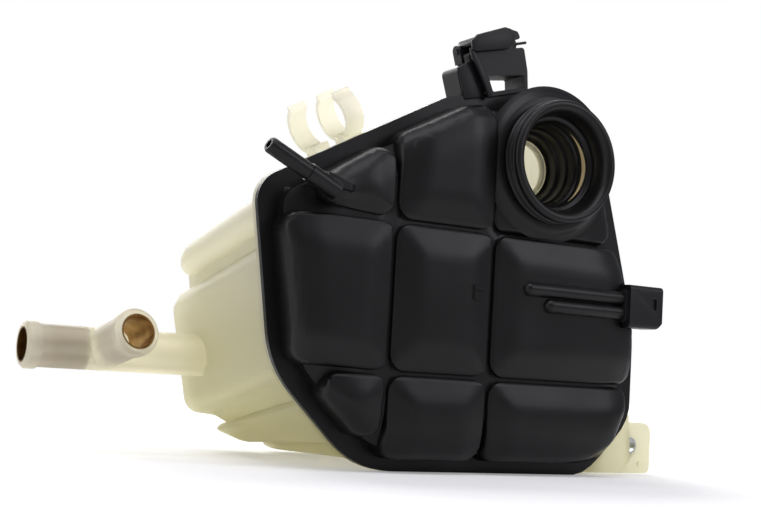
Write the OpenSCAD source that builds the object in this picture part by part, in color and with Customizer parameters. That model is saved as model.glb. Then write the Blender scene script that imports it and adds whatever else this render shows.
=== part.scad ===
// Coolant expansion tank: two moulded shells welded at a flange, standing on its lower edge.
// X runs to the right along the black face, Y runs back through the tank, Z is up.

/* [Face] */
// Width of the welded flange
face_w = 212; // [206:1:220]
// Height of the upper right corner before it is rounded
face_h = 190; // [186:1:196]
// Height of the upper left corner before it is rounded
left_h = 121.5; // [118:0.5:126]
// How far the upper left corner is leaned in at the lower bend
left_lean = 12.4; // [10:0.2:15]
// Height of the bend between the left edge and the cut-off lower corner
cut_h = 43; // [40:1:46]
// Width taken off the lower left corner at the bottom edge
cut_w = 57; // [52:1:62]
// Distance of the knee in the top edge from the left
knee_x = 95; // [90:1:99]
// Height of the knee in the top edge
knee_h = 173; // [171:1:175]
// How far the upper right corner stands in from the widest point
right_lean = 34; // [30:1:38]
// Height at which the right edge begins to lean in
right_bend_h = 73; // [68:1:78]
// Width of the flat welding rim around the cells
rim_w = 5.5; // [4.5:0.5:8]
// Extra width of the rim along the right edge
rim_right = 4.5; // [2:0.5:5]
// Thickness of each half of the flange
rim_t = 2.6; // [2:0.1:3.2]

/* [Cells] */
// Place of the first upright groove from the left
col_a = 62.5; // [58:0.5:66]
// Place of the second upright groove from the left
col_b = 115.5; // [113:0.5:118]
// Height of the lower level groove
row_a = 43.5; // [42.5:0.5:46]
// Height of the upper level groove
row_b = 110.5; // [109:0.5:112]
// Gap between two neighbouring cells
groove_w = 1.2; // [0.8:0.2:2]
// Height of the cells of the front shell over the weld
front_h = 20; // [18:0.5:22]
// Height of the groove floors of the front shell over the weld
front_floor = 11; // [9:0.5:12]
// Height of the cell that carries the filler neck
neck_cell_h = 14.5; // [13.5:0.5:16]
// Rounding of the outer edges of the front cells
front_round = 6.5; // [6:0.5:9]
// Rounding beside the grooves as a share of that
groove_share = 0.3; // [0.2:0.05:0.6]
// Rounding of the cell corners in the plane of the face
cell_corner = 8; // [7:0.5:10]
// Wall of both shells
wall = 2.6; // [2.2:0.1:3]

/* [Rear shell] */
// Depth of the middle row of rear cells behind the weld
rear_depth = 120; // [112:1:124]
// How much shallower the top row is
top_row_less = 15; // [12:1:18]
// How much shallower the bottom row is
low_row_less = 4; // [3:1:9]
// Height of the rear cells' lower wall at the weld
rear_low = 3.5; // [3:0.5:6]
// How much lower the level grooves of the rear shell are than those of the front
rear_row_drop = 6.5; // [4:0.5:8]
// Slope at which the rear cells run down towards the back, in degrees
rear_slope = 12; // [10:0.5:13]
// Rounding of the back edges of the rear cells
rear_round = 12; // [10:0.5:13]
// Gap between two neighbouring rear cells
rear_gap = 2.4; // [1.6:0.2:4]
// Depth of the grooves between the rear cells
rear_groove = 5.5; // [4:0.5:6]
// Taper of the rear shell for each millimetre of depth
side_taper = 0.0001; // [0.0001:0.0001:0.0004]

/* [Filler neck] */
// Distance of the neck from the left end of the flange
neck_x = 146.5; // [145:0.5:148]
// Height of the neck over the floor
neck_z = 146.5; // [145:0.5:148]
// Outer radius of the neck thread
thread_r = 29.2; // [28.5:0.1:30]
// Depth of the thread
thread_d = 1.6; // [1.2:0.1:2]
// Distance from one turn of the thread to the next
thread_pitch = 4; // [3.6:0.1:4.2]
// Height of the mouth over the weld
neck_front = 28; // [27:0.5:30]
// Radius of the collar at the root of the neck
collar_r = 33; // [32:0.5:34]
// Radius of the bore at the mouth
mouth_r = 22.5; // [22:0.25:23]
// Radius of the seat for the cap seal
seat_r = 20; // [19.5:0.25:20.5]
// Radius of the hole in the floor of the neck
floor_hole_r = 14.5; // [13.5:0.25:15]
// Depth of the neck floor behind the weld
neck_floor_y = 3; // [1:0.5:5]
// Bore radius of the fill tube
fill_tube_r = 12; // [11:0.25:12.5]
// Length of the fill tube
fill_tube_len = 6; // [3:1:12]

/* [Vent nipple] */
// Outer radius of the nipple
nipple_r = 3.6; // [3.3:0.1:4]
// Bore radius of the nipple
nipple_bore_r = 1.8; // [1.5:0.1:2]

/* [Hose arm] */
// Outer radius of the hose stubs
stub_r = 10; // [9.5:0.25:10.5]
// Radius of the bead at the mouth of a stub
bead_r = 10.9; // [10.6:0.1:11.4]
// Bore radius of the support sleeves
sleeve_bore_r = 7.4; // [7:0.1:7.8]
// Wall of the support sleeves
sleeve_t = 0.8; // [0.6:0.1:1]
// Distance of the stub mouth from the left end of the flange
stub_reach = 68.5; // [64:0.5:74]
// Height of the arm over the floor
arm_z = 46.7; // [45:0.5:48]
// Distance of the arm behind the weld
arm_y = 88; // [82:1:90]
// Where the second stub leaves the arm, left of the flange
branch_x = 31; // [28:1:34]
// Length of the second stub from the arm's axis
branch_len = 36; // [33:1:40]

/* [Hose clips] */
// Outer radius of the hose clips
clip_r = 11; // [10:0.25:12]
// Thickness of the clip fingers
clip_t = 2; // [1.6:0.1:2.4]
// Width of the clip fingers
clip_w = 9; // [8:0.5:9.5]

/* [Level sensor] */
// Height of the middle between the two lead tubes
sensor_z = 82.6; // [81:0.2:84]
// Distance between the axes of the lead tubes
lead_gap = 7; // [6.8:0.1:7.4]
// Outer radius of the lead tubes on the face
lead_r = 3.4; // [3.2:0.1:3.6]
// Width of the connector
plug_w = 14; // [13:0.5:16]
// Height of the connector
plug_h = 20.5; // [19.5:0.5:22]
// Length of the connector
plug_len = 20.5; // [19:0.5:24]
// Radius of the float
float_r = 13; // [12:0.5:14]
// Height of the float
float_h = 14; // [12:0.5:15]
// Travel of the float along its stem
float_travel = 22; // [18:1:25]

/* [Cable holder] */
// Depth of the cable holder from front to back
holder_d = 16; // [14:0.5:18]
// Wall of the cable holder
holder_t = 2; // [1.8:0.1:2.4]

/* [Mounting lug] */
// Reach of the lug beyond the flange on the right
lug_reach = 24.5; // [22:0.5:28]
// Height of the lug plate
lug_h = 26; // [23:1:28]
// Bore radius of the steel bush
bush_bore_r = 3.2; // [3.1:0.05:3.4]

/* [Hidden] */
$fn = 64;

// Clearance of a pressed or moulded-in fit, and of a moving fit
snug = 0.02;
run = 0.06;
// Steps along a cell corner and along a rounded edge
corner_steps = 6;
edge_steps = 4;

// Outline of the flange as sharp corners and their radii, anticlockwise seen from the front
outline = [[cut_w, 0], [face_w, 0], [face_w, right_bend_h], [face_w - right_lean, face_h],
           [knee_x, knee_h], [0, left_h], [left_lean, cut_h]];
outline_r = [45, 38, 80, 35, 30, 14, 45];

// Plane geometry on lists of corners
function step(c, i) = c[(i + len(c)) % len(c)];
function unit(v) = v / norm(v);
function left(v) = [-v[1], v[0]];
function along(c, i) = unit(step(c, i + 1) - step(c, i));
function turn(c, i) = let (u = along(c, i - 1), v = along(c, i)) atan2(cross(u, v), u * v);
function meet(p, u, q, v) = p + u * cross(q - p, v) / cross(u, v);
function inset_each(c, d) = [for (i = [0 : len(c) - 1])
    let (u = along(c, i - 1), v = along(c, i))
    meet(c[i] + step(d, i - 1) * left(u), u, c[i] + d[i] * left(v), v)];
function inset(c, d) = inset_each(c, evenly(c, d));
function keep(c, p, n) = [for (i = [0 : len(c) - 1])
    let (a = c[i], b = step(c, i + 1), da = (a - p) * n, db = (b - p) * n)
    each concat(da >= 0 ? [a] : [], (da >= 0) != (db >= 0) ? [a + (b - a) * da / (da - db)] : [])];
function merge_short(c, m) = [for (i = [0 : len(c) - 1])
    let (before = norm(c[i] - step(c, i - 1)), after = norm(step(c, i + 1) - c[i]))
    if (before >= m) after < m ? (c[i] + step(c, i + 1)) / 2 : c[i]];
function fitting_r(c, i, r) =
    min(r, 0.46 * min(norm(c[i] - step(c, i - 1)), norm(step(c, i + 1) - c[i])) / tan(turn(c, i) / 2));
function arc(c, i, r, n) = let (u = along(c, i - 1), a = turn(c, i), w = -left(u),
    m = c[i] - u * r * tan(a / 2) + left(u) * r)
    [for (k = [0 : n]) m + r * [cos(a * k / n) * w[0] - sin(a * k / n) * w[1],
                                sin(a * k / n) * w[0] + cos(a * k / n) * w[1]]];
function rounded(c, radii, n) = [for (i = [0 : len(c) - 1]) each arc(c, i, fitting_r(c, i, radii[i]), n)];
function evenly(c, r) = [for (p = c) r];

// The corners of one cell: the field inside the rim, cut at the grooves beside it
shortest_edge = 11;
rim = [rim_w, rim_w + rim_right, rim_w + rim_right, rim_w, rim_w, rim_w, rim_w];
field = inset_each(outline, rim);
field_r = [for (r = outline_r) max(r - rim_w, 7)];
cols = [-1, col_a, col_b, face_w + 1];
rows = [-1, row_a, row_b, face_h + 1];
function cut_cell(area, i, j, gap, drop) = merge_short(
    keep(keep(keep(keep(area, [cols[i] + gap / 2, 0], [1, 0]),
                   [cols[i + 1] - gap / 2, 0], [-1, 0]),
              [0, rows[j] + gap / 2 - drop], [0, 1]),
         [0, rows[j + 1] - gap / 2 - drop], [0, -1]), shortest_edge);
function cell(i, j) = cut_cell(field, i, j, groove_w, 0);

// A closed skin through rings of equal length, each ring flat in its own plane, from front to back
module skin(rings) {
    n = len(rings[0]);
    last = len(rings) - 1;
    sides = [for (k = [0 : last - 1], i = [0 : n - 1])
        each let (a = k * n + i, b = k * n + (i + 1) % n) [[a, b, b + n], [a, b + n, a + n]]];
    polyhedron([for (r = rings) each r],
               concat([[for (i = [n - 1 : -1 : 0]) i]], sides, [[for (i = [0 : n - 1]) last * n + i]]));
}

// A cell of the front shell: upright wall, rounded edge, flat top
function beside_groove(a, b) =
    min([for (x = [col_a, col_b]) abs(a[0] - x) + abs(b[0] - x)]) < 2.5 * groove_w
    || min([for (z = [row_a, row_b]) abs(a[1] - z) + abs(b[1] - z)]) < 2.5 * groove_w;
function shares(c) = [for (i = [0 : len(c) - 1]) beside_groove(c[i], step(c, i + 1)) ? groove_share : 1];
function front_ring(c, d, h, n, share = true) =
    [for (p = rounded(share ? inset_each(c, d * shares(c)) : inset(c, d),
                      evenly(c, max(cell_corner - d, 1.5)), n)) [p[0], -h, p[1]]];
module front_cell(c, base, h) {
    r = front_round;
    skin(concat([for (k = [edge_steps : -1 : 0]) let (a = 90 * k / edge_steps)
                    front_ring(c, 0.3 + r * (1 - cos(a)), h - r + r * sin(a), corner_steps)],
                [front_ring(c, 0, base, corner_steps)]));
}
// The hollow behind it
module front_pocket(c, base, h) {
    skin([front_ring(c, wall + 3.4, h - wall, 1, false), front_ring(c, wall + 0.6, h - wall - 3, 1, false),
          front_ring(c, wall + 0.6, base, 1, false)]);
}

// The rear cells run down with depth, but the lower wall stays over the floor
rear_field = inset_each(outline, concat([rear_low], [for (i = [1 : 6]) rim[i]]));
function rear_cell_corners(i, j) = cut_cell(rear_field, i, j, rear_gap, rear_row_drop);
mid_x = (face_w + left_lean) / 2;
sinks_from = row_a - rear_row_drop;
function sunk(p, y) = [mid_x + (p[0] - mid_x) * (1 - side_taper * y), y,
                       p[1] - tan(rear_slope) * y * min(1, p[1] / sinks_from)];
function rear_ring(c, d, y, n) =
    [for (p = rounded(inset(c, d), evenly(c, max(cell_corner + 2 - d, 1.5)), n)) sunk(p, y)];
row_depth = [rear_depth - low_row_less, rear_depth, rear_depth - top_row_less];
module rear_cell(c, depth) {
    r = rear_round;
    skin(concat([for (k = [0 : 2]) rear_ring(c, 0, 1 + (depth - r - 1) * k / 3, corner_steps)],
                [for (k = [0 : edge_steps]) let (a = 90 * k / edge_steps)
                    rear_ring(c, r * (1 - cos(a)), depth - r + r * sin(a), corner_steps)]));
}
module rear_pocket(c, depth) {
    skin([rear_ring(c, wall, -1, 1), rear_ring(c, wall, depth * 0.45, 1),
          rear_ring(c, wall, depth - rear_round, 1), rear_ring(c, wall + 5, depth - wall, 1)]);
}
core = inset(rear_field, rear_groove);
core_depth = rear_depth - top_row_less - rear_groove;
module rear_core(d, first, last) {
    skin([for (k = [0 : 3]) let (y = first + (last - first) * k / 3)
        [for (p = rounded(inset(core, d), field_r, 3)) sunk(p, y)]]);
}

module plate(c, r, y0, y1) {
    translate([0, y1, 0]) rotate([90, 0, 0]) linear_extrude(y1 - y0) polygon(rounded(c, r, 8));
}
// A round body turned about an axis that points to the front, from rows of [height, radius]
module turned(points) {
    rotate([90, 0, 0]) rotate_extrude() polygon([for (p = points) [p[1], p[0]]]);
}
module rod(r, len) { cylinder(r = r, h = len); }
module to_front(x, y, z) { translate([x, y, z]) rotate([90, 0, 0]) children(); }
module to_right(x, y, z) { translate([x, y, z]) rotate([0, 90, 0]) children(); }
// Points +Z of its children along a direction
module aim(from, dir) {
    translate(from) rotate([0, acos(dir[2] / norm(dir)), atan2(dir[1], dir[0])]) children();
}

// Everything is moved so that the origin is under the middle of the part
left_end = -stub_reach;
right_end = face_w + lug_reach;
module place() {
    translate([-(left_end + right_end) / 2, (neck_front - rear_depth) / 2, 0]) children();
}

// Filler neck: collar, threaded spout and the cup that hangs inside the tank
core_r = thread_r - thread_d;
collar_front = neck_cell_h + 1.6;
turns = 3;
cup_r = seat_r + wall;
neck_slot_w = 3.4;
// Each row of a turned profile is [height towards the front, radius]
function thread_turn(h) = [[h - 1.6, core_r], [h - 0.6, thread_r], [h + 0.6, thread_r], [h + 1.6, core_r]];
module neck_body() {
    to_front(neck_x, 0, neck_z) rotate_extrude() polygon([for (p = concat(
        [[-neck_floor_y, 0], [-neck_floor_y, cup_r], [1, cup_r], [1, collar_r], [collar_front - 1, collar_r],
         [collar_front, collar_r - 1], [collar_front, core_r]],
        [for (k = [turns - 1 : -1 : 0]) each thread_turn(neck_front - 3 - thread_pitch * k)],
        [[neck_front - 0.6, core_r], [neck_front, core_r - 0.6], [neck_front, 0]])) [p[1], p[0]]]);
}
module neck_bore() {
    to_front(neck_x, 0, neck_z) rotate_extrude() polygon([for (p =
        [[-neck_floor_y - 1, 0], [-neck_floor_y - 1, floor_hole_r], [wall - neck_floor_y, floor_hole_r],
         [wall - neck_floor_y, seat_r], [neck_front - 12, seat_r], [neck_front - 10, mouth_r],
         [neck_front - 2, mouth_r], [neck_front + 1, mouth_r + 3], [neck_front + 1, 0]]) [p[1], p[0]]]);
    translate([neck_x + seat_r - 4, -neck_cell_h + wall + 1, neck_z - 13])
        cube([wall + 5, neck_slot_w, 26]);
}

// Vent nipple on the upper left cell, with the web behind it
nipple_root = [30, -front_h, 119];
nipple_tip = [-4.5, -22.5, 134.4];
nipple_dir = nipple_tip - nipple_root;
module nipple_body() {
    aim(nipple_root, nipple_dir) {
        rod(nipple_r + 0.5, norm(nipple_dir) - 22);
        rod(nipple_r, norm(nipple_dir) - 1);
        translate([0, 0, norm(nipple_dir) - 1.01]) cylinder(r1 = nipple_r, r2 = nipple_r - 0.7, h = 1.01);
    }
    translate([nipple_root[0] - 6, nipple_root[1] + 1, nipple_root[2] + 2])
        rotate([90, 0, 0]) linear_extrude(4.4) polygon([[0, 0], [13, -1.5], [13, 1], [0, 5.5]]);
}
module nipple_hole() {
    aim(nipple_root, nipple_dir) rod(nipple_bore_r, norm(nipple_dir) + 1);
    translate([nipple_root[0], -wall - 2, nipple_root[2]]) rotate([90, 0, 0]) rod(nipple_bore_r, front_h - wall - 2.4);
}

// Level sensor: two tubes on the face, and the connector on their right end
lead_y = -front_h + 0.4;
upper_z = sensor_z + lead_gap / 2;
lower_z = sensor_z - lead_gap / 2;
upper_x = 134;
lower_x = 146;
plug_x = face_w - 23;
lead_bore_r = 1.5;
plug_top = sensor_z + plug_h / 2;
module lead_tube(x, z) {
    translate([x, lead_y, z]) rotate([0, 90, 0]) rotate_extrude()
        polygon(concat([for (a = [-90 : 15 : 0]) lead_r * [cos(a), sin(a)]], [[lead_r, plug_x - x], [0, plug_x - x]]));
}
// The hollow that the connector sits in, and the wall around it when grown
plug_y = lead_y + 1;
plug_gap = 0.4;
module plug_seat(grow) {
    translate([plug_x - grow, -front_h - 1, sensor_z - plug_h / 2 - plug_gap - grow])
        cube([plug_len, front_h + 1 + plug_y + plug_w / 2 + plug_gap + grow, plug_h + 2 * (plug_gap + grow)]);
}
module lead_bore(x, z) { to_right(x, lead_y, z) rod(lead_bore_r, plug_x - x + 1); }
spigot_r = 2.6;
spigot_len = 6;

// Float guide behind the right-hand cell
stem_x = 134;
stem_r = 3.5;
stem_seat = front_h - wall;
float_gap = 1.5;
float_front = -front_h + wall + 6;
stem_back = float_front + float_h + float_travel + float_gap + 2;

slab_in = 3.5;
// Small moulded mark on the middle cell, two bars with a gap
mark = [103, 79];
module mark_bars() {
    for (z = [0, 4.2]) translate([mark[0], -front_h - 0.9, mark[1] + z]) cube([6.4, 2, 2]);
    translate([mark[0], -front_h - 0.5, mark[1]]) cube([2, 2, 6.2]);
}
module front_shell() {
    color("#232226") place() difference() {
        union() {
            plate(outline, outline_r, -rim_t, 0);
            plate(inset(field, slab_in), field_r, -front_floor, -1);
            for (i = [0 : 2], j = [0 : 2])
                front_cell(cell(i, j), 1, i == 2 && j == 2 ? neck_cell_h : front_h);
            neck_body();
            nipple_body();
            lead_tube(upper_x, upper_z);
            lead_tube(lower_x, lower_z);
            mark_bars();
        }
        difference() {
            union() {
                plate(inset(field, slab_in + wall), field_r, wall - front_floor, 1);
                for (i = [0 : 2], j = [0 : 2])
                    front_pocket(cell(i, j), 2, i == 2 && j == 2 ? neck_cell_h : front_h);
            }
            to_front(neck_x, neck_floor_y, neck_z) rod(cup_r, 60);
            to_front(stem_x, -front_h + wall + 4, sensor_z) rod(stem_r + 2.5, 5);
            plug_seat(wall);
        }
        plug_seat(0);
        neck_bore();
        nipple_hole();
        lead_bore(upper_x, upper_z);
        lead_bore(lower_x, lower_z);
        for (z = [upper_z, lower_z]) to_right(plug_x - spigot_len, lead_y, z) rod(spigot_r, spigot_len + 1);
        to_front(stem_x, -front_h + wall + 4, sensor_z) rod(stem_r - 1 + snug, 4);
    }
}

// Hose arm with its two stubs
arm_root_x = 22;
branch_turn = 7.5;
branch_rise = 14;
branch_dir = [sin(branch_turn) * cos(branch_rise), -cos(branch_turn) * cos(branch_rise), sin(branch_rise)];
branch_root = [-branch_x, arm_y, arm_z];
sleeve_r = sleeve_bore_r + sleeve_t;
long_sleeve_len = stub_reach - branch_x - stub_r + 2;
short_sleeve_len = branch_len - 13;
module stub(len) {
    rod(stub_r, len - 1.5);
    translate([0, 0, len - 7]) cylinder(r1 = stub_r, r2 = bead_r, h = 1.01);
    translate([0, 0, len - 6]) rod(bead_r, 4.5);
    translate([0, 0, len - 1.51]) cylinder(r1 = bead_r, r2 = bead_r - 1.5, h = 1.51);
}
module arm_body() {
    to_right(arm_root_x, arm_y, arm_z) rotate([180, 0, 0]) stub(arm_root_x + stub_reach);
    aim(branch_root, branch_dir) stub(branch_len);
}
duct_r = 6;
module arm_bore() {
    to_right(-stub_reach + long_sleeve_len, arm_y, arm_z) rod(duct_r, arm_root_x + stub_reach - long_sleeve_len);
    to_right(-stub_reach - 1, arm_y, arm_z) rod(sleeve_r, long_sleeve_len + 1);
    aim(branch_root, branch_dir) {
        rod(duct_r, branch_len);
        translate([0, 0, branch_len - short_sleeve_len]) rod(sleeve_r, short_sleeve_len + 1);
    }
}

// Hose clips along the upper left edge, in the frame of that edge
edge_slope = atan2(knee_h - left_h, knee_x);
clip_y = 13;
module on_edge(s) { translate([0, 0, left_h]) rotate([0, -edge_slope, 0]) translate([s, 0, 0]) children(); }
// A flat shape in the plane across that edge, as [back, up], extruded along the edge
module across_edge(s, w, shape) {
    on_edge(s) translate([0, clip_y, 0]) rotate([90, 0, 90]) linear_extrude(w) polygon(shape);
}
// One finger: an arc of the clip ring that ends in a thicker lip, bending back (1) or front (-1)
function on_ring(r, a, side) = [side * r * cos(a), clip_r + r * sin(a)];
clip_in = clip_r - clip_t;
module finger(s, side, end) {
    across_edge(s, clip_w, concat(
        [for (k = [0 : 14]) on_ring(clip_r, -82 + (end - 8 + 82) * k / 14, side)],
        [on_ring(clip_r + 1.4, end - 6, side), on_ring(clip_r + 1.4, end, side), on_ring(clip_in, end, side)],
        [for (k = [14 : -1 : 0]) on_ring(clip_in, -82 + (end - 8 + 82) * k / 14, side)]));
}
foot_w = 8;
module clip_foot(s, w) {
    across_edge(s + 0.5, w - 1, [[-foot_w / 2 - 1.5, -rim_w - 9], [foot_w / 2 + 1.5, -rim_w - 9],
                                 [foot_w / 2, clip_t + 0.6], [-foot_w / 2, clip_t + 0.6]]);
}
finger_s = [37.5, 53.5, 55.5];

// Mounting lug on the lower right
lug_y = 12;
lug_t = 3.4;
lug_hole_x = face_w + 11;
lug_hole_z = 14.5;
lug_hole_r = bush_bore_r + 0.8;
lug_block_h = 30;
module lug() {
    translate([0, lug_y - lug_t + 0.5, 0]) rotate([90, 0, 0]) linear_extrude(lug_y - lug_t - 0.5)
        polygon([[face_w - 30, 1], [face_w, 1], [face_w + 5, 8], [face_w + 3, lug_block_h], [face_w - 30, lug_block_h]]);
    translate([0, lug_y, 0]) rotate([90, 0, 0]) linear_extrude(lug_t)
        polygon(rounded([[face_w - 30, 0.6], [right_end, 0.6], [right_end, lug_h], [face_w - 30, lug_h]], [1, 3, 5, 1], 4));
    to_front(lug_hole_x + 6.5, lug_y - lug_t + 0.5, 5) rod(1.5, 1.5);
}

module rear_shell() {
    color("#d6d4b4", 0.85) place() difference() {
        union() {
            plate(outline, outline_r, 0, rim_t);
            rear_core(0, 0.5, core_depth);
            for (i = [0 : 2], j = [0 : 2]) rear_cell(rear_cell_corners(i, j), row_depth[j]);
            arm_body();
            clip_foot(finger_s[0], clip_w);
            clip_foot(finger_s[1], finger_s[2] + clip_w - finger_s[1]);
            finger(finger_s[0], 1, 72);
            finger(finger_s[1], 1, 72);
            finger(finger_s[2], -1, 60);
            lug();
        }
        rear_core(wall, -1, core_depth - wall);
        for (i = [0 : 2], j = [0 : 2]) rear_pocket(rear_cell_corners(i, j), row_depth[j]);
        arm_bore();
        to_front(lug_hole_x, lug_y + 1, lug_hole_z) rod(lug_hole_r, lug_t + 2);
    }
}

module fill_tube() {
    color("#cfcfae") place() to_front(neck_x, neck_floor_y, neck_z) difference() {
        union() {
            translate([0, 0, -fill_tube_len]) rod(floor_hole_r - snug, fill_tube_len + wall);
            translate([0, 0, wall + 0.05]) rod(floor_hole_r + 1.5, 1.5);
            translate([0, 0, wall - 0.5]) rod(floor_hole_r - snug, 1);
        }
        translate([0, 0, -fill_tube_len - 1]) rod(fill_tube_r, fill_tube_len + wall + 5);
    }
}

module sleeve(len) {
    difference() {
        rod(sleeve_r - snug, len);
        translate([0, 0, -1]) rod(sleeve_bore_r, len + 2);
    }
}
module long_stub_sleeve() {
    color("#8a6a3a") place() to_right(-stub_reach, arm_y, arm_z) sleeve(long_sleeve_len - 0.1);
}
module short_stub_sleeve() {
    color("#8a6a3a") place() aim(branch_root, branch_dir)
        translate([0, 0, branch_len - short_sleeve_len + 0.1]) sleeve(short_sleeve_len - 0.1);
}

// Connector housing with its socket open to the right, and two spigots into the lead tubes
contact_r = 0.8;
socket_depth = 13;
seal_t = 1;
module plug_outline(d) {
    polygon(rounded([[d - plug_w / 2, d - plug_h / 2], [plug_w / 2 - d, d - plug_h / 2],
                     [plug_w / 2 - d, plug_h / 2 - d], [d - plug_w / 2, plug_h / 2 - d]], [2, 2, 2, 2], 4));
}
module sensor_housing() {
    color("#1d1c20") place() difference() {
        union() {
            translate([plug_x + seal_t, plug_y, sensor_z]) rotate([90, 0, 90]) linear_extrude(plug_len) plug_outline(0);
            for (z = [upper_z, lower_z]) to_right(plug_x - spigot_len + 0.5, lead_y, z) rod(spigot_r - snug, spigot_len + 2);
        }
        translate([plug_x + seal_t + plug_len - socket_depth, plug_y, sensor_z]) rotate([90, 0, 90])
            linear_extrude(socket_depth + 1) plug_outline(1.7);
        translate([plug_x + seal_t + plug_len - 7, plug_y - plug_w / 2 - 1, sensor_z - 1.2]) cube([3, 2.2, 5.4]);
        translate([plug_x + seal_t + plug_len, plug_y + plug_w, sensor_z - plug_h / 2])
            rotate([90, 0, 0]) linear_extrude(2 * plug_w) polygon([[-3.4, -1], [1, -1], [1, 4.2]]);
        for (z = [upper_z, lower_z]) to_right(plug_x - spigot_len, lead_y, z) rod(contact_r, plug_len);
    }
}
module sensor_seal() {
    color("#111111") place() difference() {
        translate([plug_x, plug_y, sensor_z]) rotate([90, 0, 90]) linear_extrude(seal_t) plug_outline(2.2);
        for (z = [upper_z, lower_z]) to_right(plug_x - 1, lead_y, z) rod(spigot_r, 4);
    }
}
contact_len = 17;
module contact(z) {
    color("#c9b26a") place() to_right(plug_x - spigot_len + 1, lead_y, z) rod(contact_r - snug, contact_len);
}
module upper_contact() { contact(upper_z); }
module lower_contact() { contact(lower_z); }
reed_len = 14;
module reed_switch() {
    color("#b9d4c4", 0.6) place() to_right(upper_x, lead_y, upper_z) rod(lead_bore_r - 0.1, reed_len);
}
module upper_lead() {
    color("#b0b0b4") place() to_right(upper_x + reed_len, lead_y, upper_z)
        rod(0.45, plug_x - spigot_len + 1 - upper_x - reed_len);
}
module lower_lead() {
    color("#b0b0b4") place() to_right(lower_x, lead_y, lower_z) rod(0.45, plug_x - spigot_len + 1 - lower_x);
}

module float_stem() {
    color("#2a2a2e") place() {
        to_front(stem_x, stem_back, sensor_z) rod(stem_r - 1, stem_back + front_h - wall - 4 + 3.9);
        difference() {
            to_front(stem_x, stem_back, sensor_z) rod(stem_r, stem_back - float_front + float_gap);
            to_front(stem_x, stem_back - 1, sensor_z) difference() {
                rod(stem_r + 1, 1.2);
                translate([0, 0, -1]) rod(stem_r - 0.8, 4);
            }
        }
    }
}
magnet_h = 5;
magnet_r = 8;
module float_bore() { translate([0, 0, -1]) rod(stem_r + 0.4, float_h + 2); }
module float() {
    color("#4a4a52") place() to_front(stem_x, float_front + float_h, sensor_z) difference() {
        union() {
            cylinder(r1 = float_r - 1, r2 = float_r, h = 1);
            translate([0, 0, 1]) rod(float_r, float_h - 2);
            translate([0, 0, float_h - 1]) cylinder(r1 = float_r, r2 = float_r - 1, h = 1);
        }
        float_bore();
        translate([0, 0, float_h - magnet_h]) rod(magnet_r, magnet_h + 1);
    }
}
module float_magnet() {
    color("#3a3432") place() to_front(stem_x, float_front + magnet_h, sensor_z) difference() {
        rod(magnet_r - snug, magnet_h);
        translate([0, 0, -1]) rod(stem_r + 0.8, magnet_h + 2);
    }
}
module float_clip() {
    color("#9a9aa0") place() to_front(stem_x, stem_back - 1.05, sensor_z) difference() {
        rod(stem_r + 3, 0.9);
        translate([0, 0, -1]) rod(stem_r - 0.75, 3);
        translate([-1.6, 0, -1]) cube([3.2, stem_r + 4, 3]);
    }
}

// Cable holder that grips the flange, drawn as outlines in the front view
holder_y = -5;
holder_base = [[117, 176], [138.2, 182], [137.4, 191.5], [111.8, 187.2]];
holder_front = [[111.8, 187.2], [137.4, 191.5], [134.6, 202.6], [104.2, 195.4]];
holder_pocket = [[103.5, 172], [116, 178], [110.5, 192.5], [98.6, 187]];
holder_web = [[109, 176], [119, 180], [110, 194.5], [104.5, 194.5]];
module front_shape(c, r, y0, y1) {
    translate([0, y1, 0]) rotate([90, 0, 0]) linear_extrude(y1 - y0) polygon(rounded(c, evenly(c, r), 3));
}
pin_y = holder_y + holder_d - 4;
pin_from = [104, pin_y, 197];
pin_to = [134.5, pin_y, 206];
pin_dir = pin_to - pin_from;
pin_r = 1.4;
barrel_r = 3;
pin_len = norm(pin_dir);
ear = 3;
flap_len = pin_len - 2 * ear - 0.6;
module along_pin() { aim(pin_from, pin_dir) children(); }
module cable_holder() {
    color("#1f1e22") place() difference() {
        union() {
            front_shape(concat([for (i = [0, 1, 2]) holder_base[i]], [holder_front[2], holder_front[3], holder_front[0]]),
                        1.5, holder_y, holder_y + holder_d);
            front_shape(holder_pocket, 2.5, holder_y + 3, holder_y + holder_d);
            front_shape(holder_web, 0.5, holder_y + 2, holder_y + 6);
            along_pin() for (s = [0, pin_len - ear]) translate([0, 0, s]) {
                rod(barrel_r, ear);
                translate([0, -barrel_r, 0]) cube([6, 2 * barrel_r, ear]);
            }
        }
        front_shape(inset(holder_base, holder_t), 0.8, holder_y - 1, holder_y + holder_d + 1);
        front_shape(inset(holder_front, holder_t), 0.8, holder_y + holder_t, holder_y + holder_d + 1);
        front_shape(inset(holder_pocket, holder_t), 0.8, holder_y + 3 + holder_t, holder_y + holder_d + 1);
        plate(inset(outline, -0.05), outline_r, -rim_t - 0.1, rim_t + 0.1);
        along_pin() translate([0, 0, -1]) rod(pin_r + 0.02, pin_len + 2);
        along_pin() translate([0, 0, ear]) rod(barrel_r + 0.4, pin_len - 2 * ear);
    }
}
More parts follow.
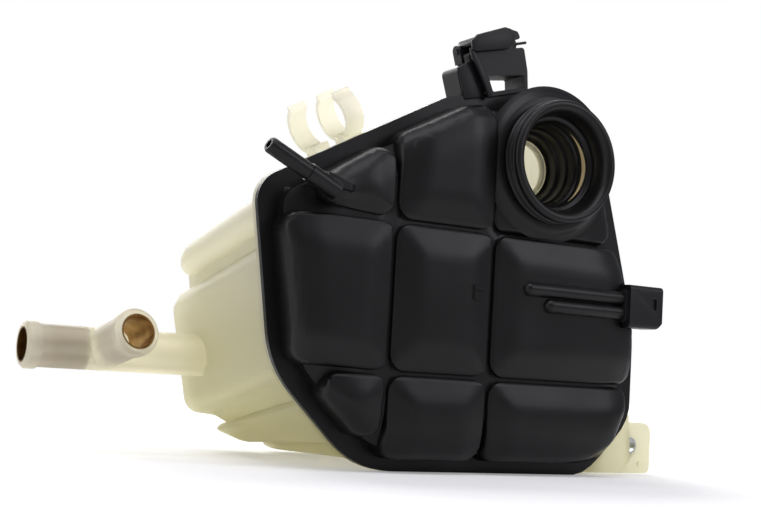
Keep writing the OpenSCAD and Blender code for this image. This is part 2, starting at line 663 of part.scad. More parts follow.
// The flap is a lid over the holder: a curved top with a front skirt, on a barrel round the pin
flap_shape = [[104, 198.2], [132.6, 206.4], [130.4, 209.6], [124.4, 210.2], [105.6, 202.4]];
flap_in = [[108.8, 198.2], [131.5, 204.8], [130.6, 206.6], [124.6, 207.9], [108.6, 201.2]];
module holder_flap() {
    color("#26252a") place() difference() {
        union() {
            difference() {
                front_shape(flap_shape, 1.2, holder_y, pin_y + 0.5);
                front_shape(flap_in, 0.5, holder_y + holder_t, pin_y + 1);
                along_pin() for (s = [-1, pin_len - ear - 0.3]) translate([0, 0, s]) rod(barrel_r + 0.4, ear + 1.3);
            }
            along_pin() translate([0, 0, ear + 0.3]) rod(barrel_r, flap_len);
        }
        along_pin() translate([0, 0, -1]) rod(pin_r + run, pin_len + 2);
    }
}
module holder_pin() {
    color("#3a393e") place() along_pin() {
        translate([0, 0, -0.5]) rod(pin_r, pin_len + 1);
        translate([0, 0, pin_len + 0.05]) rod(pin_r + 1.3, 2.2);
        translate([0, 0, pin_len + 1]) rod(0.7, 9);
    }
}

bush_len = lug_t + 0.6;
module lug_bush() {
    color("#a8a8ac") place() to_front(lug_hole_x, lug_y + 0.3, lug_hole_z) difference() {
        rod(lug_hole_r - snug, bush_len);
        translate([0, 0, -1]) rod(bush_bore_r, bush_len + 2);
    }
}

front_shell();
rear_shell();
fill_tube();
long_stub_sleeve();
short_stub_sleeve();
sensor_housing();
sensor_seal();
upper_contact();
lower_contact();
reed_switch();
upper_lead();
lower_lead();
float();
float_magnet();
float_stem();
float_clip();
cable_holder();
holder_flap();
holder_pin();
lug_bush();
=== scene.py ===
from math import radians

import bpy
from mathutils import Matrix, Vector


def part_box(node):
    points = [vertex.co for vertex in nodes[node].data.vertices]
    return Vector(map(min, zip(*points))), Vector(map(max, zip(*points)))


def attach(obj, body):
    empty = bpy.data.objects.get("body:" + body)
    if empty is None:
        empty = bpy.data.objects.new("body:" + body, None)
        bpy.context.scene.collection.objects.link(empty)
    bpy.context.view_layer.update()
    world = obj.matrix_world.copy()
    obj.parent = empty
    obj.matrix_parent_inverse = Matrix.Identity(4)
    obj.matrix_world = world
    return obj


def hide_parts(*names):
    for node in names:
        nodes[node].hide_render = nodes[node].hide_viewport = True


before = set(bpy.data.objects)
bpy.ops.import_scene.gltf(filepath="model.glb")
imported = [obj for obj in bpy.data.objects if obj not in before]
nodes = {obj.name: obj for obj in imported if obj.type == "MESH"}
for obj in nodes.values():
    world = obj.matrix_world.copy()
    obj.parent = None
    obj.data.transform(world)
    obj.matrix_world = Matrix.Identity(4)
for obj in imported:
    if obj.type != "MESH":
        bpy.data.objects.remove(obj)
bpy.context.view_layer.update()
MM = 0.001

# Weld plane
# Both shells meet in one upright plane. The mouth of the neck stands 28 mm in front of it, and
# every place below is given from it.
NECK_HEIGHT = 28.0
WELD_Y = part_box("front_shell")[0].y / MM + NECK_HEIGHT

# Camera
# Low at the left of the black face, looking a little up, with a lens of moderate length.
IMAGE_WIDTH, FOCAL_PIXELS, SENSOR_WIDTH = 761, 1350, 36
CAMERA_PLACE = (-323.6, WELD_Y - 521.9, 41.8)
camera_data = bpy.data.cameras.new("camera")
camera_data.sensor_width = SENSOR_WIDTH
camera_data.lens = FOCAL_PIXELS * SENSOR_WIDTH / IMAGE_WIDTH
camera_data.clip_start = 0.01
camera = bpy.data.objects.new("camera", camera_data)
bpy.context.collection.objects.link(camera)
to_right = Vector((0.8594, -0.5077, 0.0596))
to_top = Vector((-0.0952, -0.0444, 0.9944))
to_back = Vector((-0.5023, -0.8604, -0.0865))
turn = Matrix((to_right, to_top, to_back)).transposed().to_4x4()
camera.matrix_world = Matrix.Translation(Vector(CAMERA_PLACE) * MM) @ turn
bpy.context.scene.camera = camera

# Floor and light
# A white sweep with soft boxes over and beside the tank, as in a catalogue picture.
def linear(hex_colour):
    """A colour written as sRGB hex, as linear red, green, blue and alpha."""
    parts = [int(hex_colour[i:i + 2], 16) / 255 for i in (1, 3, 5)]
    return tuple(p / 12.92 if p <= 0.04045 else ((p + 0.055) / 1.055) ** 2.4 for p in parts) + (1.0,)


def add(tree, kind, settings=None, links=None):
    """Adds one shader node: settings by name or socket, links as {socket: output socket}."""
    made = tree.nodes.new(kind)
    for name, value in (settings or {}).items():
        if isinstance(name, str) and hasattr(made, name):
            setattr(made, name, value)
        else:
            made.inputs[name].default_value = value
    for socket, source in (links or {}).items():
        tree.links.new(source, made.inputs[socket])
    return made


def new_material(name):
    """An empty material with its output node, and its tree."""
    made = bpy.data.materials.new(name)
    made.use_nodes = True
    made.node_tree.nodes.clear()
    return made, made.node_tree, made.node_tree.nodes.new("ShaderNodeOutputMaterial")


def noise(tree, place, size_mm, detail, roughness=0.5):
    """Noise in object space, with spots about as wide as the size in millimetres."""
    settings = {"Scale": 1 / (size_mm * MM), "Detail": detail, "Roughness": roughness}
    return add(tree, "ShaderNodeTexNoise", settings, {"Vector": place.outputs["Object"]}).outputs["Fac"]


def ramp(tree, source, start, end, low=0.0, high=1.0, kind="LINEAR"):
    """Maps a value from start and end to low and high, and holds it there."""
    settings = {"interpolation_type": kind, "From Min": start, "From Max": end, "To Min": low,
                "To Max": high}
    return add(tree, "ShaderNodeMapRange", settings, {"Value": source}).outputs[0]


def blend(tree, share, first, second):
    """A mix of two colours, each an sRGB hex or an output socket."""
    made = add(tree, "ShaderNodeMix", {"data_type": "RGBA"}, {0: share})
    for socket, colour in ((6, first), (7, second)):
        if isinstance(colour, str):
            made.inputs[socket].default_value = linear(colour)
        else:
            tree.links.new(colour, made.inputs[socket])
    return made.outputs[2]


FLOOR_SIZE, FLOOR_GAP = 6.0, 0.0002
SHADOW_SHARE, SHADOW_NEAR, SHADOW_FAR = 0.8, 0.16, 0.3
bpy.ops.object.select_all(action="DESELECT")
bpy.ops.mesh.primitive_plane_add(size=FLOOR_SIZE, location=(0, 0, -FLOOR_GAP))
floor = bpy.context.object
floor.name = "floor"
paper, tree, out = new_material("white paper sweep")
place = add(tree, "ShaderNodeTexCoord")
distance = add(tree, "ShaderNodeVectorMath", {"operation": "LENGTH"}, {0: place.outputs["Object"]})
near = ramp(tree, distance.outputs["Value"], SHADOW_NEAR, SHADOW_FAR, SHADOW_SHARE, 0.0)
rays = add(tree, "ShaderNodeLightPath")
direct = add(tree, "ShaderNodeMath", {"operation": "SUBTRACT", 0: 1.0}, {1: near})
seen = add(tree, "ShaderNodeMath", {"operation": "MULTIPLY"},
           {0: rays.outputs["Is Camera Ray"], 1: direct.outputs[0]})
lit = add(tree, "ShaderNodeBsdfDiffuse", {"Color": linear("#f4f4f4")})
glow = add(tree, "ShaderNodeEmission", {"Color": (1, 1, 1, 1), "Strength": 1.3})
mixed = add(tree, "ShaderNodeMixShader", None,
            {0: seen.outputs[0], 1: lit.outputs[0], 2: glow.outputs[0]})
tree.links.new(mixed.outputs[0], out.inputs["Surface"])
floor.data.materials.append(paper)

world = bpy.data.worlds.new("studio")
world.use_nodes = True
bpy.context.scene.world = world
tree = world.node_tree
tree.nodes.clear()
out = tree.nodes.new("ShaderNodeOutputWorld")
rays = add(tree, "ShaderNodeLightPath")
room = add(tree, "ShaderNodeBackground", {"Color": linear("#dfe2ea"), "Strength": 0.3})
white = add(tree, "ShaderNodeBackground", {"Color": (1, 1, 1, 1), "Strength": 1.0})
mixed = add(tree, "ShaderNodeMixShader", None,
            {0: rays.outputs["Is Camera Ray"], 1: room.outputs[0], 2: white.outputs[0]})
tree.links.new(mixed.outputs[0], out.inputs["Surface"])


def soft_box(name, place, target, width, height, watts, colour="#ffffff"):
    """A rectangular lamp at a place, turned to a target, both in millimetres."""
    data = bpy.data.lights.new(name, "AREA")
    data.shape = "RECTANGLE"
    data.size, data.size_y = width * MM, height * MM
    data.energy = watts
    data.color = linear(colour)[:3]
    lamp = bpy.data.objects.new(name, data)
    bpy.context.collection.objects.link(lamp)
    place = Vector(place) * MM
    lamp.location = place
    lamp.rotation_euler = (Vector(target) * MM - place).to_track_quat("-Z", "Y").to_euler()


soft_box("top box", (-100, -420, 780), (0, 0, 120), 900, 400, 3.4, "#faf8ff")
soft_box("left box", (-900, -150, 380), (0, 0, 80), 450, 700, 2.0)
soft_box("back box", (100, 800, 420), (20, 0, 90), 900, 600, 8.0)
soft_box("sky box", (60, 230, 800), (0, -20, 100), 900, 160, 2.4)
soft_box("right box", (620, -720, 520), (20, 0, 120), 420, 420, 1.7, "#fbf8ff")
bpy.context.scene.view_settings.view_transform = "Standard"


# Black front shell
# Carbon-black polypropylene, injection moulded: a satin skin that takes broad, soft highlights.
# It is welded to the rear shell round the flange, and the nipple and the lead tubes are part of it.
MERGE_DISTANCE, FLAT_ANGLE, SOFT_ANGLE = 0.00001, 1, 40
EVEN_WEIGHT = 80


def shade_evenly(made, angle=SOFT_ANGLE):
    """Smooth fillets, flat faces and sharp corners."""
    bpy.ops.object.shade_smooth_by_angle(angle=radians(angle))
    weighted = made.modifiers.new("even faces", "WEIGHTED_NORMAL")
    weighted.keep_sharp = True
    weighted.weight = EVEN_WEIGHT
    bpy.ops.object.modifier_apply(modifier=weighted.name)


def smooth_copy(node, name):
    """A merged copy of a CAD node with smooth fillets and sharp corners, left active."""
    bpy.ops.object.select_all(action="DESELECT")
    made = nodes[node].copy()
    made.data = nodes[node].data.copy()
    made.name = made.data.name = name
    made.parent = None
    made.matrix_world = Matrix.Identity(4)
    bpy.context.collection.objects.link(made)
    made.data.materials.clear()
    bpy.context.view_layer.objects.active = made
    made.select_set(True)
    bpy.ops.object.mode_set(mode="EDIT")
    bpy.ops.mesh.select_all(action="SELECT")
    bpy.ops.mesh.remove_doubles(threshold=MERGE_DISTANCE)
    bpy.ops.mesh.dissolve_limited(angle_limit=radians(FLAT_ANGLE))
    bpy.ops.object.mode_set(mode="OBJECT")
    shade_evenly(made)
    return made


def cut_along(normal, points):
    """Cuts the active mesh at points in planes square to an axis, so that it can bend and shades evenly."""
    bpy.ops.object.mode_set(mode="EDIT")
    for point in points:
        bpy.ops.mesh.select_all(action="SELECT")
        bpy.ops.mesh.bisect(plane_co=point, plane_no=normal)
    bpy.ops.object.mode_set(mode="OBJECT")


ROUGHER, SMOOTHER = 0.07, 0.05
SINK_SPREAD = 1.6


def moulded_plastic(name, colour, spread, roughness, grain_mm, grain_depth, sheen_mm=30.0, sink_depth=0.0):
    """A moulded plastic: colour and gloss that vary slowly, sink marks, and a fine even grain."""
    made, tree, out = new_material(name)
    place = add(tree, "ShaderNodeTexCoord")
    slow = noise(tree, place, sheen_mm, 4.0, 0.6)
    tint = blend(tree, slow, colour, spread)
    gloss = ramp(tree, slow, 0.0, 1.0, roughness - SMOOTHER, roughness + ROUGHER)
    wave = add(tree, "ShaderNodeBump", {"Strength": 1.0, "Distance": sink_depth * MM},
               {"Height": noise(tree, place, SINK_SPREAD * sheen_mm, 0.0)})
    relief = add(tree, "ShaderNodeBump", {"Strength": 1.0, "Distance": grain_depth * MM},
                 {"Height": noise(tree, place, grain_mm, 3.0, 0.55), "Normal": wave.outputs[0]})
    skin = add(tree, "ShaderNodeBsdfPrincipled", {"IOR": 1.49, "Specular IOR Level": 0.3},
               {"Base Color": tint, "Roughness": gloss, "Normal": relief.outputs[0]})
    tree.links.new(skin.outputs[0], out.inputs["Surface"])
    return made


black_pp = moulded_plastic("carbon black polypropylene", "#090909", "#0f0e0f", 0.36, 0.35, 0.012,
                           sink_depth=2.4)
face = smooth_copy("front_shell", "front_shell_face")
NECK_X, NECK_Z = 62.5, 146.5
NECK_OUTER, NECK_FOOT, NECK_CUP = 33.3, 14.45, 23.0


def near_neck(vertex):
    """True for a point of the neck's skin, which the turned neck replaces."""
    radius = ((vertex.co.x - NECK_X * MM) ** 2 + (vertex.co.z - NECK_Z * MM) ** 2) ** 0.5 / MM
    height = (WELD_Y * MM - vertex.co.y) / MM
    return radius < NECK_CUP or (radius < NECK_OUTER and height > NECK_FOOT)


# The cells are soft cushions: their faces fall away to shallow grooves and to the rim, which the
# solid gives as flat faces, so the skin is cut into a fine grid and let down there. Heights count
# from the weld plane. The flange's corners count x from its left end, each with the rim's width on
# the edge that follows it.
HALF_REACH = 84.0
FLANGE = [(57.0, 0.0, 5.5), (212.0, 0.0, 10.0), (212.0, 73.0, 10.0), (178.0, 190.0, 5.5),
          (95.0, 173.0, 5.5), (0.0, 121.5, 5.5), (12.4, 43.0, 5.5)]
GROOVES_X, GROOVES_Z = (62.5 - HALF_REACH, 115.5 - HALF_REACH), (43.5, 110.5)
CELL_TOP, NECK_CELL_TOP, GROOVE_FLOOR, RIM_FRONT = 20.0, 14.5, 11.0, 2.6
MARK_HEIGHT, TOLERANCE = 1.3, 0.02
GROOVE_SHARE, GROOVE_HALF, GROOVE_SIDE = 0.4, 2.0, 4.0
GROOVE_MOUTH, MOUTH_WIDTH = 2.0, 20.0
SHOULDER, SHOULDER_WIDTH = 2.8, 15.0
EDGE_FALL, EDGE_WIDTH = 2.2, 16.0
COLLAR, COLLAR_WIDTH, NECK_CELL_SHARE = 36.0, 6.0, 0.5
NIPPLE_ROOT, NIPPLE_TIP = (-54.0, 119.0), (-88.5, 134.4)
NIPPLE_CLEAR, NIPPLE_WIDTH = 4.5, 7.0


def ease(share):
    """A smooth step from 0 to 1."""
    share = min(max(share, 0.0), 1.0)
    return share * share * (3 - 2 * share)


def inside_rim(x, z):
    """Distance from the inner edge of the flat rim, in millimetres."""
    nearest = 1000.0
    for (ax, az, rim), (bx, bz, _) in zip(FLANGE, FLANGE[1:] + FLANGE[:1]):
        length = ((bx - ax) ** 2 + (bz - az) ** 2) ** 0.5
        across = ((bx - ax) * (z - az) - (bz - az) * (x + HALF_REACH - ax)) / length
        nearest = min(nearest, across - rim)
    return nearest


def from_nipple(x, z):
    """Distance from the axis of the vent nipple, seen from the front, in millimetres."""
    (ax, az), (bx, bz) = NIPPLE_ROOT, NIPPLE_TIP
    along = ((x - ax) * (bx - ax) + (z - az) * (bz - az)) / ((bx - ax) ** 2 + (bz - az) ** 2)
    along = min(max(along, 0.0), 1.0)
    return ((x - ax - along * (bx - ax)) ** 2 + (z - az - along * (bz - az)) ** 2) ** 0.5


def cushioned(x, z, height):
    """The height over the weld that a point of the flat-topped solid has on the cushioned skin."""
    groove = min([abs(x - g) for g in GROOVES_X] + [abs(z - g) for g in GROOVES_Z])
    rim = inside_rim(x, z)
    in_neck_cell = x > GROOVES_X[1] and z > GROOVES_Z[1]
    top = NECK_CELL_TOP if in_neck_cell else CELL_TOP
    if in_neck_cell and height > top + TOLERANCE:
        return height
    shallow = (1 - ease((groove - GROOVE_HALF) / GROOVE_SIDE)) * ease((rim - GROOVE_MOUTH) / MOUTH_WIDTH)
    raised = height + max(top - height, 0.0) * shallow * (1 - GROOVE_SHARE)
    fall = SHOULDER * (1 - ease(groove / SHOULDER_WIDTH)) + EDGE_FALL * (1 - ease(rim / EDGE_WIDTH))
    if in_neck_cell:
        away = ((x - NECK_X) ** 2 + (z - NECK_Z) ** 2) ** 0.5
        fall *= NECK_CELL_SHARE * ease((away - COLLAR) / COLLAR_WIDTH)
    fall *= ease((from_nipple(x, z) - NIPPLE_CLEAR) / NIPPLE_WIDTH)
    return raised - fall * min(max((height - RIM_FRONT) / (top - RIM_FRONT), 0.0), 1.0)


bpy.ops.object.mode_set(mode="EDIT")
bpy.ops.mesh.select_mode(type="FACE")
bpy.ops.mesh.select_all(action="DESELECT")
bpy.ops.object.mode_set(mode="OBJECT")
for polygon in face.data.polygons:
    polygon.select = all(near_neck(face.data.vertices[v]) for v in polygon.vertices)
bpy.ops.object.mode_set(mode="EDIT")
bpy.ops.mesh.delete(type="FACE")
bpy.ops.object.mode_set(mode="OBJECT")
GRID, GRID_LEFT, COLUMNS, ROWS = 3.5, -100.0, 60, 54
cut_along((1, 0, 0), [((GRID_LEFT + (k + 0.5) * GRID) * MM, 0, 0) for k in range(COLUMNS)])
cut_along((0, 0, 1), [(0, 0, (k + 0.5) * GRID * MM) for k in range(ROWS)])
OFF_SURFACE, FLOOR_MARGIN = 0.05, 0.1
front = Vector((0, -1, 0))
cushions = []
for vertex in face.data.vertices:
    height = WELD_Y - vertex.co.y / MM
    if GROOVE_FLOOR - FLOOR_MARGIN < height < CELL_TOP + MARK_HEIGHT:
        start = vertex.co + vertex.normal * OFF_SURFACE * MM + front * OFF_SURFACE * MM
        if not face.ray_cast(start, front)[0]:
            moved = cushioned(vertex.co.x / MM, vertex.co.z / MM, height)
            cushions.append((vertex.index, (WELD_Y - moved) * MM))
for index, y in cushions:
    face.data.vertices[index].co.y = y

# The lower right corner of the black shell turns in a wide arc with a broad rim; the natural
# flange behind it runs on into the lug.
CORNER_X = 128.0
CORNER_PUSH, CORNER_REACH, CORNER_CURVE = 10.0, 34.0, 1.3
CELL_PUSH, CELL_REACH, CELL_CURVE = 12.0, 55.0, 1.5
RIM_STEP = 6.0
inward = Vector((-0.707, 0, 0.707))
for vertex in face.data.vertices:
    away = ((CORNER_X - vertex.co.x / MM) ** 2 + (vertex.co.z / MM) ** 2) ** 0.5
    raised = ease((WELD_Y - vertex.co.y / MM - RIM_FRONT) / RIM_STEP)
    push = CORNER_PUSH * max(1 - away / CORNER_REACH, 0.0) ** CORNER_CURVE
    push += CELL_PUSH * raised * max(1 - away / CELL_REACH, 0.0) ** CELL_CURVE
    vertex.co += inward * push * MM
shade_evenly(face)
face.data.materials.append(black_pp)
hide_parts("front_shell")
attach(face, "tank")

# Filler neck
# Moulded in one with the black shell: a coarse rounded thread outside, and a bore that narrows
# in steps for the seals of the cap.
THREAD_CREST, THREAD_ROOT = 29.2, 27.7
FIRST_TURN, TURN_PITCH = 18.9, 3.198
TURN_SHAPE = ((-1.3, 0.0), (-0.85, 0.35), (-0.5, 0.85), (0.0, 1.0), (0.5, 0.85), (0.85, 0.35), (1.3, 0.0))


def rounded_turn(height):
    """One turn of the thread as radius and height, with a soft crest."""
    depth = THREAD_CREST - THREAD_ROOT
    return [(THREAD_ROOT + share * depth, height + rise) for rise, share in TURN_SHAPE]


neck_profile = [(22.4, -10.4), (22.4, 13.9), (34.8, 13.9), (37.2, 14.3), (35.4, 14.8), (33.8, 15.6),
                (32.6, 16.8), (31.4, 17.2), (29.6, 17.4)]
for turn_height in (FIRST_TURN, FIRST_TURN + TURN_PITCH):
    neck_profile += rounded_turn(turn_height)
neck_profile += [(27.7, 24.0), (28.4, 24.4), (28.9, 25.2), (29.0, 26.6), (28.6, 27.4), (27.8, 27.9),
                 (26.8, 28.0), (25.6, 27.8), (24.6, 27.0), (23.6, 25.2), (22.9, 22.8), (22.6, 20.0),
                 (22.5, 17.6), (22.1, 17.2), (21.2, 17.0), (20.6, 16.6), (20.4, 15.6), (20.4, 10.8),
                 (20.1, 10.2), (19.3, 9.8), (19.0, 9.2), (19.0, 4.4), (18.7, 3.8), (18.1, 3.4),
                 (17.9, 2.8), (17.9, -1.0), (17.5, -1.6), (16.6, -2.0), (16.2, -2.8), (16.2, -5.0),
                 (15.9, -6.2), (15.5, -6.9), (15.1, -7.3), (14.8, -7.7), (14.6, -8.4), (14.6, -10.4)]
NECK_PLACE = (NECK_X, WELD_Y, NECK_Z)
TURNED_SIDES, TURNED_ANGLE, RING_MERGE = 144, 50, 0.000005


def turned(name, profile, place):
    """A ring turned from a closed profile of (radius, height) in millimetres, its axis to the front."""
    bpy.ops.object.select_all(action="DESELECT")
    radius, height = profile[0]
    bpy.ops.mesh.primitive_circle_add(vertices=TURNED_SIDES, radius=radius * MM,
                                      location=(0, 0, height * MM))
    made = bpy.context.object
    made.name = made.data.name = name
    bpy.ops.object.transform_apply(location=True, rotation=True, scale=True)
    bpy.ops.object.mode_set(mode="EDIT")
    bpy.ops.mesh.select_all(action="SELECT")
    for next_radius, next_height in profile[1:] + profile[:1]:
        rise = (next_height - height) * MM
        bpy.ops.mesh.extrude_edges_move(TRANSFORM_OT_translate={"value": (0, 0, rise)})
        share = next_radius / radius
        bpy.ops.transform.resize(value=(share, share, 1), center_override=(0, 0, next_height * MM))
        radius, height = next_radius, next_height
    bpy.ops.mesh.select_all(action="SELECT")
    bpy.ops.mesh.remove_doubles(threshold=RING_MERGE)
    bpy.ops.mesh.normals_make_consistent(inside=False)
    bpy.ops.object.mode_set(mode="OBJECT")
    made.rotation_euler = Vector((0, -1, 0)).to_track_quat("Z", "Y").to_euler()
    made.location = Vector(place) * MM
    bpy.ops.object.transform_apply(location=True, rotation=True, scale=True)
    bpy.ops.object.shade_smooth_by_angle(angle=radians(TURNED_ANGLE))
    return made


neck = turned("filler_neck", neck_profile, NECK_PLACE)
neck.data.materials.append(black_pp)
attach(neck, "tank")

# Natural rear shell
# Unfilled polypropylene: milky where light comes through, and darker and more olive towards the bottom.
# Over the metal sleeves inside the hose stubs it is greyer, which is painted shade: the sleeves and the
# dark bores seen through the wall. The places are in millimetres, x along the black face for the arm and
# the sleeves and z for the olive and the clips.
THROUGH_SHARE = 0.58
OLIVE_TOP = 100.0
ARM_START, ARM_FULL = -66.0, -82.0
CLIPS_START, CLIPS_FULL = 150.0, 162.0
SLEEVE_END, SLEEVE_EDGE, MOUTH_X = -123.0, 0.8, -152.5
SLEEVE_MOUTH, SLEEVE_FULL, SLEEVE_SHADE_SHARE = 6, 13, 0.62
natural_pp, tree, out = new_material("natural polypropylene")
place = add(tree, "ShaderNodeTexCoord")
axes = add(tree, "ShaderNodeSeparateXYZ", None, {0: place.outputs["Object"]})
along, up = axes.outputs["X"], axes.outputs["Z"]
upper = blend(tree, noise(tree, place, 40, 3.0), "#e3e1d3", "#dddbc7")
# The shell is drawn darker and more olive towards the bottom.
above_olive = ramp(tree, up, 0.0, OLIVE_TOP * MM, kind="SMOOTHSTEP")
body_colour = blend(tree, above_olive, "#c2bf92", upper)
on_arm = ramp(tree, along, ARM_START * MM, ARM_FULL * MM, kind="SMOOTHSTEP")
arm_colour = blend(tree, on_arm, body_colour, "#e2ddcb")
thin_colour = blend(tree, ramp(tree, up, CLIPS_START * MM, CLIPS_FULL * MM), arm_colour, "#f3eeea")
# Painted shade: the shell is drawn greyer over the metal sleeves, for the sleeves and the dark bores seen
# through the wall.
sleeve_shade_mask = add(tree, "ShaderNodeMath", {"operation": "MULTIPLY"},
                  {0: ramp(tree, along, (MOUTH_X + SLEEVE_MOUTH) * MM, (MOUTH_X + SLEEVE_FULL) * MM),
                   1: ramp(tree, along, SLEEVE_END * MM, (SLEEVE_END - SLEEVE_EDGE) * MM)})
painted_sleeve_shade = add(tree, "ShaderNodeMath", {"operation": "MULTIPLY", 1: SLEEVE_SHADE_SHARE},
                 {0: sleeve_shade_mask.outputs[0]})
shell_colour = blend(tree, painted_sleeve_shade.outputs[0], thin_colour, "#a9a28f")
relief = add(tree, "ShaderNodeBump", {"Strength": 1.0, "Distance": 0.01 * MM},
             {"Height": noise(tree, place, 0.6, 2.0)})
skin = add(tree, "ShaderNodeBsdfPrincipled", {"IOR": 1.49, "Roughness": 0.4},
           {"Base Color": shell_colour, "Normal": relief.outputs[0]})
through = add(tree, "ShaderNodeBsdfTranslucent", {"Color": linear("#f4f2e4")})
milky = add(tree, "ShaderNodeMixShader", {0: THROUGH_SHARE}, {1: skin.outputs[0], 2: through.outputs[0]})
side = add(tree, "ShaderNodeNewGeometry")
inside_wall = add(tree, "ShaderNodeBsdfTransparent", {"Color": linear("#fbf8ea")})
walled = add(tree, "ShaderNodeMixShader", None,
             {0: side.outputs["Backfacing"], 1: milky.outputs[0], 2: inside_wall.outputs[0]})
tree.links.new(walled.outputs[0], out.inputs["Surface"])
rear = smooth_copy("rear_shell", "rear_shell_skin")
# Its long faces are cut finer, so that the shading stays even along the arm and the fillets.
REAR_STEP = 3.1
REAR_CUTS = ((14, (0, 0, 1.6), (0, 0, 1)), (36, (0, WELD_Y + 4.0, 0), (0, 1, 0)),
             (18, (-70.0, 0, 0), (1, 0, 0)))
for count, first, normal in REAR_CUTS:
    cut_along(normal, [(Vector(first) + Vector(normal) * REAR_STEP * k) * MM for k in range(count)])
shade_evenly(rear)
rear.data.materials.append(natural_pp)
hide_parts("rear_shell")
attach(rear, "tank")


def finish_node(node, material):
    """Gives a CAD node whose shape is right its finished material."""
    made = nodes[node]
    made.data.materials.clear()
    made.data.materials.append(material)


# Fill tube
# A thin natural insert that lines the hole in the floor of the neck. A pale amber crescent on the right of
# the bore is painted light: it stands for light from inside the tank shining through the gap between the
# neck wall and the inner tube.
CRESCENT_SHIFT, CRESCENT_CUT = 1.0, 4
tube = turned("fill_tube_liner", [(14.5, -11.5), (14.5, -7.9), (14.2, -7.5), (13.6, -7.3), (13.2, -7.6),
                                  (13.1, -8.2), (13.1, -11.5)], NECK_PLACE)
# Painted light: a pale amber ring, cut to its right side, stands where light from the tank shines into the
# bore.
light_crescent = turned("painted_light_crescent", [(21.0, 13.2), (22.2, 13.2), (22.2, 16.4), (21.6, 16.4)],
             (NECK_X - CRESCENT_SHIFT, WELD_Y, NECK_Z))
bpy.ops.object.mode_set(mode="EDIT")
bpy.ops.mesh.select_all(action="SELECT")
bpy.ops.mesh.bisect(plane_co=((NECK_X + CRESCENT_CUT) * MM, 0, NECK_Z * MM), plane_no=(1, 0, 0), use_fill=True,
                    clear_inner=True)
bpy.ops.object.mode_set(mode="OBJECT")
amber = moulded_plastic("painted light through the bore gap", "#d2b67c", "#eedcb4", 0.3, 1.0, 0.01, sheen_mm=8.0)
light_crescent.data.materials.append(amber)
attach(light_crescent, "tank")
tube.data.materials.append(natural_pp)
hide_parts("fill_tube")
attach(tube, "tank")

# Sensor housing, cable holder and flap
# Black nylon mouldings: the plug housing at the right edge, the holder clipped on the top edge,
# and its flap, which turns on the pin. Their edges get the small radius of a mould.
EDGE_RADIUS = 0.35


def softened(node, name, material, body):
    """A merged copy of a moulded node whose sharp edges get a small radius."""
    made = smooth_copy(node, name)
    rounding = made.modifiers.new("edge radius", "BEVEL")
    rounding.width, rounding.segments = EDGE_RADIUS * MM, 2
    rounding.limit_method, rounding.angle_limit = "ANGLE", radians(SOFT_ANGLE)
    rounding.use_clamp_overlap = True
    bpy.ops.object.modifier_apply(modifier=rounding.name)
    bpy.ops.object.shade_smooth_by_angle(angle=radians(SOFT_ANGLE))
    made.data.materials.append(material)
    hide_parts(node)
    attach(made, body)


nylon = moulded_plastic("black nylon", "#0e0e10", "#151517", 0.42, 0.3, 0.01)
for name in ("holder_pin", "float_stem"):
    finish_node(name, nylon)
for name, body in (("sensor_housing", "tank"), ("cable_holder", "tank"), ("holder_flap", "flap")):
    softened(name, name + "_moulding", nylon, body)


def front_plate(name, outline, front, back, radius, body):
    """A flat moulded piece from its outline of (x, z) and the heights of its two faces, in millimetres."""
    bpy.ops.object.select_all(action="DESELECT")
    bpy.ops.mesh.primitive_circle_add(vertices=len(outline), radius=MM, fill_type="NGON")
    made = bpy.context.object
    made.name = made.data.name = name
    for vertex, (x, z) in zip(made.data.vertices, outline):
        vertex.co = Vector((x - HALF_REACH, WELD_Y - front, z)) * MM
    bpy.ops.object.mode_set(mode="EDIT")
    bpy.ops.mesh.select_all(action="SELECT")
    bpy.ops.mesh.extrude_region_move(TRANSFORM_OT_translate={"value": (0, (front - back) * MM, 0)})
    bpy.ops.mesh.select_all(action="SELECT")
    bpy.ops.mesh.normals_make_consistent(inside=False)
    bpy.ops.object.mode_set(mode="OBJECT")
    rounding = made.modifiers.new("edge radius", "BEVEL")
    rounding.width, rounding.segments, rounding.limit_method = radius * MM, 3, "ANGLE"
    bpy.ops.object.modifier_apply(modifier=rounding.name)
    bpy.ops.object.shade_smooth_by_angle(angle=radians(SOFT_ANGLE))
    made.data.materials.append(nylon)
    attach(made, body)


# Cable holder trim
# The flap's front skirt hangs over the pin, a rounded rib stiffens the left edge of the holder's
# plate, and a cheek stands beside it. All three are moulded with the piece that they ride on.
front_plate("flap_skirt", [(104.2, 196.0), (106.4, 195.2), (124.5, 199.8), (127.0, 202.6), (127.2, 206.4),
                           (125.4, 209.7), (121.8, 209.9), (106.4, 203.6), (103.6, 200.4)],
            7.2, 5.15, 0.7, "flap")
front_plate("holder_rib", [(103.0, 197.0), (104.8, 192.4), (108.8, 186.4), (112.4, 180.6), (115.0, 174.8),
                           (117.4, 175.4), (115.2, 181.6), (111.8, 187.8), (107.8, 193.4), (106.2, 195.2)],
            6.4, 4.6, 0.5, "tank")
front_plate("holder_cheek", [(98.8, 187.2), (103.6, 172.6), (115.4, 175.4), (110.8, 184.0), (106.4, 191.6),
                             (104.0, 190.6)], 3.2, 1.2, 0.6, "tank")

# Stub sleeves
# Drawn tubes in the colour of brass, pressed into both hose stubs so that the clamps can grip.
brass, tree, out = new_material("drawn brass")
tarnish = blend(tree, noise(tree, add(tree, "ShaderNodeTexCoord"), 5, 4.0), "#7a4f2a", "#c8a368")
skin = add(tree, "ShaderNodeBsdfPrincipled", {"Metallic": 1.0, "Roughness": 0.28}, {"Base Color": tarnish})
tree.links.new(skin.outputs[0], out.inputs["Surface"])
for name in ("long_stub_sleeve", "short_stub_sleeve"):
    finish_node(name, brass)


DULLER, SHINIER = 0.08, 0.06


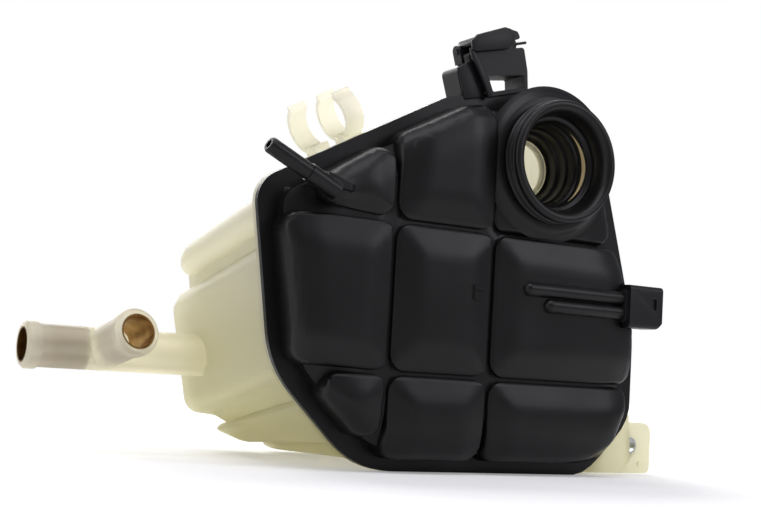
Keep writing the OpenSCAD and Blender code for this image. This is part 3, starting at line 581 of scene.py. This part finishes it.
def plain_metal(name, colour, spread, roughness, streak_mm):
    """A drawn, pressed or plated metal, with faint streaks of tarnish."""
    made, tree, out = new_material(name)
    streaks = noise(tree, add(tree, "ShaderNodeTexCoord"), streak_mm, 3.0)
    tint = blend(tree, streaks, colour, spread)
    dulled = ramp(tree, streaks, 0.0, 1.0, roughness - SHINIER, roughness + DULLER)
    surface = add(tree, "ShaderNodeBsdfPrincipled", {"Metallic": 1.0},
                  {"Base Color": tint, "Roughness": dulled})
    tree.links.new(surface.outputs[0], out.inputs["Surface"])
    return made


# Level sensor inside the tank
# A reed switch in a glass tube with tinned leads, switched by the magnet in a foam float. Only the
# two contact pins show, in the socket of the housing.
finish_node("upper_contact", plain_metal("tinned brass", "#b9a876", "#c9c3b4", 0.25, 1.5))
finish_node("lower_contact", bpy.data.materials["tinned brass"])
for name in ("upper_lead", "lower_lead"):
    finish_node(name, plain_metal("tinned copper wire " + name[:5], "#b5b2ae", "#c4c0ba", 0.3, 2.0))
finish_node("float_clip", plain_metal("spring steel", "#9a9a9c", "#adadb0", 0.25, 2.0))
finish_node("float_magnet", moulded_plastic("sintered ferrite", "#2b2927", "#35322f", 0.55, 0.25, 0.03))
finish_node("float", moulded_plastic("foamed nitrile rubber", "#232325", "#2d2d30", 0.7, 0.8, 0.15))
finish_node("sensor_seal", moulded_plastic("moulded seal rubber", "#161617", "#1e1e1f", 0.55, 0.3, 0.02))
glass, tree, out = new_material("reed switch glass")
drawn = noise(tree, add(tree, "ShaderNodeTexCoord"), 3, 1.0)
ripple = add(tree, "ShaderNodeBump", {"Strength": 0.3, "Distance": 0.05 * MM}, {"Height": drawn})
surface = add(tree, "ShaderNodeBsdfPrincipled",
              {"Base Color": linear("#bfe3d2"), "IOR": 1.5, "Roughness": 0.05, "Transmission Weight": 0.9},
              {"Normal": ripple.outputs[0]})
tree.links.new(surface.outputs[0], out.inputs["Surface"])
finish_node("reed_switch", glass)

# Lug bush
# A rolled zinc-plated steel bush, pressed into the eye of the mounting lug.
finish_node("lug_bush", plain_metal("zinc plated steel", "#a8acb3", "#c3c6ca", 0.3, 3.0))
